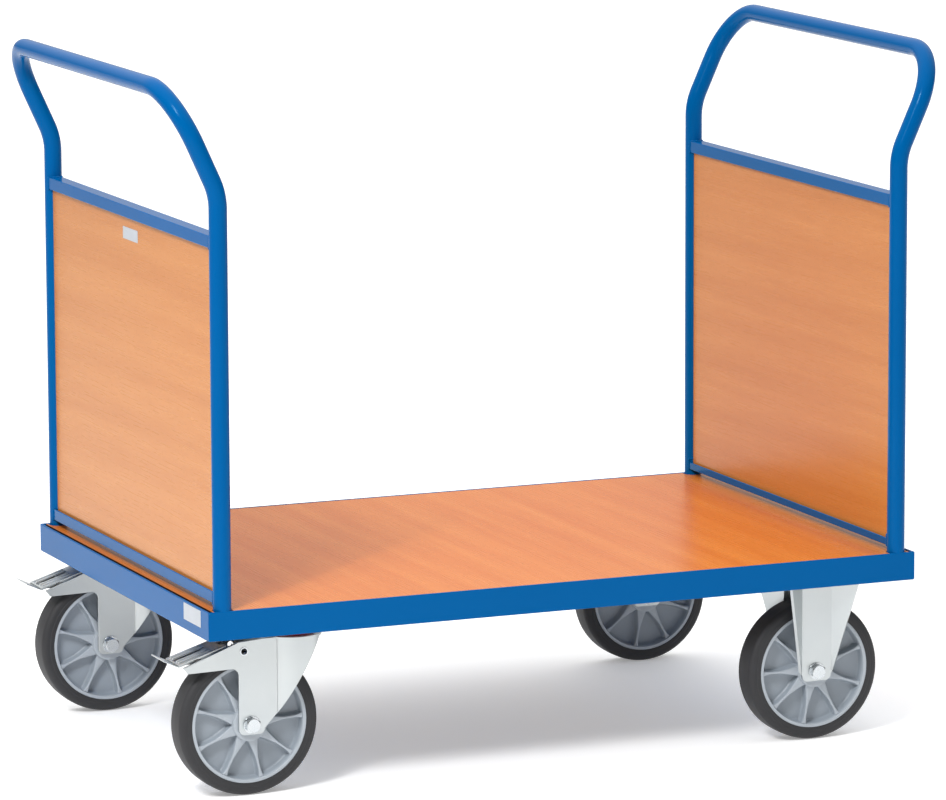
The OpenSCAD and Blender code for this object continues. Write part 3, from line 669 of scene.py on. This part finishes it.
RUBBER = tyre_rubber()
WHEELS = ("swivel_right", "swivel_left", "fixed_right", "fixed_left")
rim_r = 0.0825
bead_r_out = rim_r + 0.0055
shoulder_r = 0.008
crown = 0.0006
for wheel in WHEELS:
    node = "tyre_" + wheel
    low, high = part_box(node)
    half = (high[1] - low[1]) / 2
    r = (high[2] - low[2]) / 2
    side = [
        (rim_r, half, 0.0005), (bead_r_out, half, 0.0003), (bead_r_out + 0.0008, half - 0.0005, 0.0003),
        (r - crown, half - 0.001, shoulder_r), (r, 0.0006, 0),
    ]
    bm = bmesh.new()
    lathe(bm, both_sides(side), middle_of(node), "Y", 160)
    stand_for(make(node + "_made", bm, RUBBER), node)


# ---- Wheel cores ----
# Moulded in grey plastic: a rim ring, a web, a hub with bearing seats, and nine spokes on each
# side that flow into the rim, the hub and the web.
def grey_plastic():
    """Satin moulded plastic with faint flow marks, and a painted highlight that makes it paler where it
    stands proud.
    """
    shade = Shade("grey_plastic")
    flow = shade.noise(22, detail=3)
    grain = shade.noise(900, detail=2)
    wheel_y = abs(middle_of("core_fixed_right").y)
    along = shade.part("Y")
    depth = along.maths("ABSOLUTE", along.maths("ABSOLUTE", along) - wheel_y)
    plain = shade.mix(flow, (0.265, 0.302, 0.342), (0.305, 0.342, 0.384))
    return shade.finish(
        # Painted highlight: the faces that stand out from the core's middle (rim ring, spoke tops and
        # hub) are paler.
        Base_Color=shade.mix(0.75 * depth.fade(0.0150, 0.0205), plain, (0.42, 0.46, 0.50)),
        Roughness=0.34 + 0.12 * flow,
        Normal=shade.bump(grain, 0.00002),
    )


GREY = grey_plastic()
spoke_count = 9
spoke_turns = {"swivel": radians(3), "fixed": radians(20)}
web_half = 0.008
rim_face = 0.0215
hub_r = 0.024
hub_half = 0.025
seat_r = (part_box("bearings_fixed_right")[1][2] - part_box("bearings_fixed_right")[0][2]) / 2
seat_depth = 0.0075
bore_r = seat_r - 0.003
rim_lip = 0.0045
spoke_top = 0.0195
spoke_stations = 22
slim_half = 0.0011
root_flare = 0.0058
slim_from = 0.55
tip_flare = 0.0022
foot_from = 0.80


def core_outline():
    """Half section of a core: rim ring, web, hub, and the seats of its bearings."""
    side = [
        (rim_r, rim_face, 0.0006), (rim_r - rim_lip, rim_face, 0.0007),
        (rim_r - rim_lip - 0.0022, web_half, 0.004), (hub_r + 0.0012, web_half, 0.004),
        (hub_r, hub_half, 0.0010), (seat_r, hub_half, 0.0005), (seat_r, hub_half - seat_depth, 0.0003),
        (bore_r, hub_half - seat_depth, 0.0003),
    ]
    return both_sides(side)


def spoke_mesh(bm):
    """One spoke along +X, standing on the web: wide at the hub, slim, and flared at the rim."""
    root = hub_r - 0.001
    tip = rim_r - rim_lip - 0.0008
    height = spoke_top - web_half
    rows = []
    for i in range(spoke_stations + 1):
        share = i / spoke_stations
        x = root + (tip - root) * share
        broad = root_flare * (1 - min(share / slim_from, 1)) ** 1.35
        foot = tip_flare * max(0, (share - foot_from) / (1 - foot_from)) ** 2
        w = slim_half + broad + foot
        across = [(w + 0.0042, 0), (w + 0.0026, 0.0007), (w + 0.0015, 0.0024), (w + 0.0009, 0.0050),
                  (w + 0.0005, height - 0.0009), (w + 0.0001, height - 0.00025), (w - 0.0006, height)]
        section = [(y, h) for y, h in across] + [(-y, h) for y, h in reversed(across)]
        rows.append([bm.verts.new((x, web_half + h - 0.0002, y)) for y, h in section])
    for a, b in zip(rows, rows[1:]):
        for i in range(len(a)):
            j = (i + 1) % len(a)
            bm.faces.new((a[i], b[i], b[j], a[j]))
    bm.faces.new(rows[0])
    bm.faces.new(reversed(rows[-1]))


def spoke_tree():
    """Geometry nodes that repeat a spoke round the axle."""
    tree = bpy.data.node_groups.new("spokes_round_axle", "GeometryNodeTree")
    face = tree.interface
    face.new_socket("Spoke", in_out="INPUT", socket_type="NodeSocketGeometry")
    face.new_socket("Count", in_out="INPUT", socket_type="NodeSocketInt")
    face.new_socket("Turn", in_out="INPUT", socket_type="NodeSocketFloat")
    face.new_socket("Material", in_out="INPUT", socket_type="NodeSocketMaterial")
    face.new_socket("Spokes", in_out="OUTPUT", socket_type="NodeSocketGeometry")
    nodes, link = tree.nodes, tree.links.new

    def number(operation, first, second):
        made = nodes.new("ShaderNodeMath")
        made.operation = operation
        for socket, value in zip(made.inputs, (first, second)):
            if isinstance(value, (int, float)):
                socket.default_value = value
            else:
                link(value, socket)
        return made.outputs[0]

    given = nodes.new("NodeGroupInput").outputs
    spots = nodes.new("GeometryNodeMeshLine")
    spots.inputs["Offset"].default_value = (0, 0, 0)
    index = nodes.new("GeometryNodeInputIndex").outputs[0]
    angle = nodes.new("ShaderNodeCombineXYZ")
    lay = nodes.new("GeometryNodeInstanceOnPoints")
    real = nodes.new("GeometryNodeRealizeInstances")
    paint = nodes.new("GeometryNodeSetMaterial")
    link(given["Count"], spots.inputs["Count"])
    step = number("DIVIDE", -2 * pi, given["Count"])
    turned = number("SUBTRACT", number("MULTIPLY", index, step), given["Turn"])
    link(turned, angle.inputs["Y"])
    link(spots.outputs["Mesh"], lay.inputs["Points"])
    link(given["Spoke"], lay.inputs["Instance"])
    link(angle.outputs[0], lay.inputs["Rotation"])
    link(lay.outputs["Instances"], real.inputs["Geometry"])
    link(real.outputs["Geometry"], paint.inputs["Geometry"])
    link(given["Material"], paint.inputs["Material"])
    link(paint.outputs["Geometry"], nodes.new("NodeGroupOutput").inputs["Spokes"])
    return tree


SPOKE_TREE = spoke_tree()
for wheel in WHEELS:
    node = "core_" + wheel
    centre = middle_of(node)
    bm = bmesh.new()
    spoke_mesh(bm)
    bmesh.ops.recalc_face_normals(bm, faces=bm.faces)
    one = keep("spoke", bm, GREY)
    turn = spoke_turns[wheel.split("_")[0]]
    ring = grown("spokes", one, SPOKE_TREE, Count=spoke_count, Turn=turn, Material=GREY)
    bm = bmesh.new()
    bm.from_mesh(ring.data)
    bpy.data.objects.remove(ring)
    far = bmesh.ops.duplicate(bm, geom=bm.verts[:] + bm.edges[:] + bm.faces[:])["geom"]
    for vert in (v for v in far if isinstance(v, bmesh.types.BMVert)):
        vert.co.y = -vert.co.y
    bmesh.ops.translate(bm, verts=bm.verts, vec=centre)
    lathe(bm, core_outline(), centre, "Y", 144)
    stand_for(make(node + "_made", bm, GREY), node)
    paint("bearings_" + wheel, STEEL)

# ---- Axle bolts ----
# M12 hexagon bolts with a washer under head and nut. Each clamps the fork's cheeks on the axle
# tube that the bearings run on.
across_flats = 0.019
washer_r = 0.0122
washer_t = 0.0016
head_h = 0.0075
nut_h = 0.010
bolt_r = 0.006
thread_pitch = 0.00175


def hexagon(bm, centre, start, height, out):
    """A hexagon head or nut with a turned chamfer; out is the way its face looks along Y."""
    steps = 72
    flat = across_flats / 2
    face_r = flat * 0.94
    rings = [[], [], []]
    for i in range(steps):
        a = 2 * pi * i / steps
        edge = flat / cos((a + pi / 6) % (pi / 3) - pi / 6)
        top = height - (edge - face_r) * tan(radians(30))
        for ring, (r, h) in zip(rings, ((edge, 0), (edge, top), (face_r, height))):
            spot = Vector((r * cos(a), start + out * h, r * sin(a)))
            ring.append(bm.verts.new(centre + spot))
    for a, b in zip(rings, rings[1:]):
        for i in range(steps):
            j = (i + 1) % steps
            bm.faces.new((a[i], a[j], b[j], b[i]))
    bm.faces.new(rings[2])
    bm.faces.new(rings[0])


def axle_bolt(bm, centre, cheek_out):
    """Bolt along Y through centre, its head on the right (-Y) side."""
    face = cheek_out + washer_t
    for side in (-1, 1):
        inner, outer = sorted((side * cheek_out, side * face))
        ring = [(bolt_r, inner), (washer_r, inner), (washer_r, outer), (bolt_r, outer)]
        lathe(bm, outline(ring, (0.0001, 0.0004, 0.0004, 0.0001)), centre, "Y", 64)
    hexagon(bm, centre, -face, head_h, -1)
    hexagon(bm, centre, face, nut_h, 1)
    end = face + nut_h + 0.003
    turns = int((end - face) / thread_pitch)
    thread = [(0.0001, -face), (bolt_r, -face)]
    for i in range(turns):
        at = end - (turns - i) * thread_pitch
        thread += [(bolt_r, at), (bolt_r - 0.0007, at + thread_pitch * 0.5)]
    thread += [(bolt_r - 0.0008, end), (0.0001, end)]
    lathe(bm, thread, centre, "Y", 48)


cheek_out = 0.030
for side in ("right", "left"):
    bm = bmesh.new()
    axle_bolt(bm, middle_of("tyre_swivel_" + side), cheek_out)
    stand_for(make(f"axle_bolt_{side}_made", bm, STEEL, 20), "axle_bolt_" + side)
bm = bmesh.new()
for side in ("right", "left"):
    axle_bolt(bm, middle_of("tyre_fixed_" + side), cheek_out)
stand_for(make("fixed_axle_bolts_made", bm, STEEL, 20), "fixed_axle_bolts")

# ---- Fasteners and pins that need no more shape ----
# Plate bolts and nuts, deck screws, kingpins and axle tubes: zinc plated steel.
for node in ("caster_bolts", "caster_nuts", "deck_screws", "kingpins"):
    soften(node, 0.0003, STEEL, segments=2)
for node in ("fixed_axle_tubes", "axle_tube_right", "axle_tube_left"):
    paint(node, STEEL)

# ---- Camera ----
# A long lens from the swivel end's right, a little above the handle bars.
azimuth = radians(-22.79)
elevation = radians(9.58)
roll = radians(-0.22)
aim = Vector((0.00322, 0, 0.46396))
distance = 8.38427
lens = bpy.data.cameras.new("studio_camera")
lens.sensor_width = 36
lens.lens = 225.04
lens.clip_end = 100
camera = bpy.data.objects.new("studio_camera", lens)
bpy.context.scene.collection.objects.link(camera)
back = Vector((sin(azimuth) * cos(elevation), -cos(azimuth) * cos(elevation), sin(elevation)))
right = Vector((0, 0, 1)).cross(back).normalized()
turned = Matrix((right, back.cross(right), back)).transposed() @ Matrix.Rotation(roll, 3, "Z")
camera.matrix_world = Matrix.Translation(aim + back * distance) @ turned.to_4x4()
bpy.context.scene.camera = camera


# ---- Floor and light ----
# A pale studio floor with painted shade that greys it in front and to the left, a room that is bright
# above, and a soft lamp with a bright strip in it, which stands off the swivel end's right corner.
def pale_floor():
    """Matt white paint, with painted shade that greys it some way in front of the truck and to its left.
    """
    shade = Shade("pale_floor")
    cloud = shade.noise(1.2, detail=2)
    white = shade.mix(cloud, (0.91, 0.91, 0.91), (0.94, 0.94, 0.94))
    # Painted shade: beyond about 1.1 m in front of the truck and to its left, the floor's colour fades to
    # grey.
    lit = shade.part("Y").fade(-2.8, -1.1) * shade.part("X").fade(-2.7, -1.1)
    return shade.finish(
        Base_Color=shade.mix(lit, (0.42, 0.42, 0.42), white),
        Roughness=0.75 + 0.05 * cloud,
        Emission_Color=(1, 1, 1),
        Emission_Strength=0.28,
    )


floor_half = 30.0
room_dark = 0.08
room_bright = 1.75
dark_below = 0.2
bright_above = 0.95
bright_side = (0.10, 0.30, 0.95)
bm = bmesh.new()
bmesh.ops.create_grid(bm, x_segments=1, y_segments=1, size=floor_half)
floor = keep("floor", bm, pale_floor())

world = bpy.data.worlds.new("white_room")
world.use_nodes = True
room = world.node_tree
way = room.nodes.new("ShaderNodeTexCoord")
towards = room.nodes.new("ShaderNodeVectorMath")
towards.operation = "DOT_PRODUCT"
towards.inputs[1].default_value = bright_side
shades = room.nodes.new("ShaderNodeMapRange")
shades.inputs["From Min"].default_value = dark_below
shades.inputs["From Max"].default_value = bright_above
shades.inputs["To Min"].default_value = room_dark
shades.inputs["To Max"].default_value = room_bright
room.links.new(way.outputs["Generated"], towards.inputs[0])
room.links.new(towards.outputs["Value"], shades.inputs["Value"])
room.links.new(shades.outputs["Result"], room.nodes["Background"].inputs["Strength"])
room.nodes["Background"].inputs["Color"].default_value = (1, 1, 1, 1)
bpy.context.scene.world = world
bpy.context.scene.view_settings.view_transform = "Standard"


def soft_lamp(name, at, target, size, power, colour=(1, 1, 1)):
    data = bpy.data.lights.new(name, "AREA")
    data.shape = "RECTANGLE"
    data.size, data.size_y = size
    data.energy = power
    data.color = colour
    lamp = bpy.data.objects.new(name, data)
    way = Vector(target) - Vector(at)
    lamp.rotation_euler = way.to_track_quat("-Z", "Y").to_euler()
    lamp.location = at
    bpy.context.scene.collection.objects.link(lamp)


lamp_stand = (-3.0, -2.6, 3.8)
lamp_aim = (0, 0, 0.3)
soft_lamp("key", lamp_stand, lamp_aim, (1.4, 1.1), 130)
soft_lamp("spark", lamp_stand, lamp_aim, (0.20, 1.60), 70)
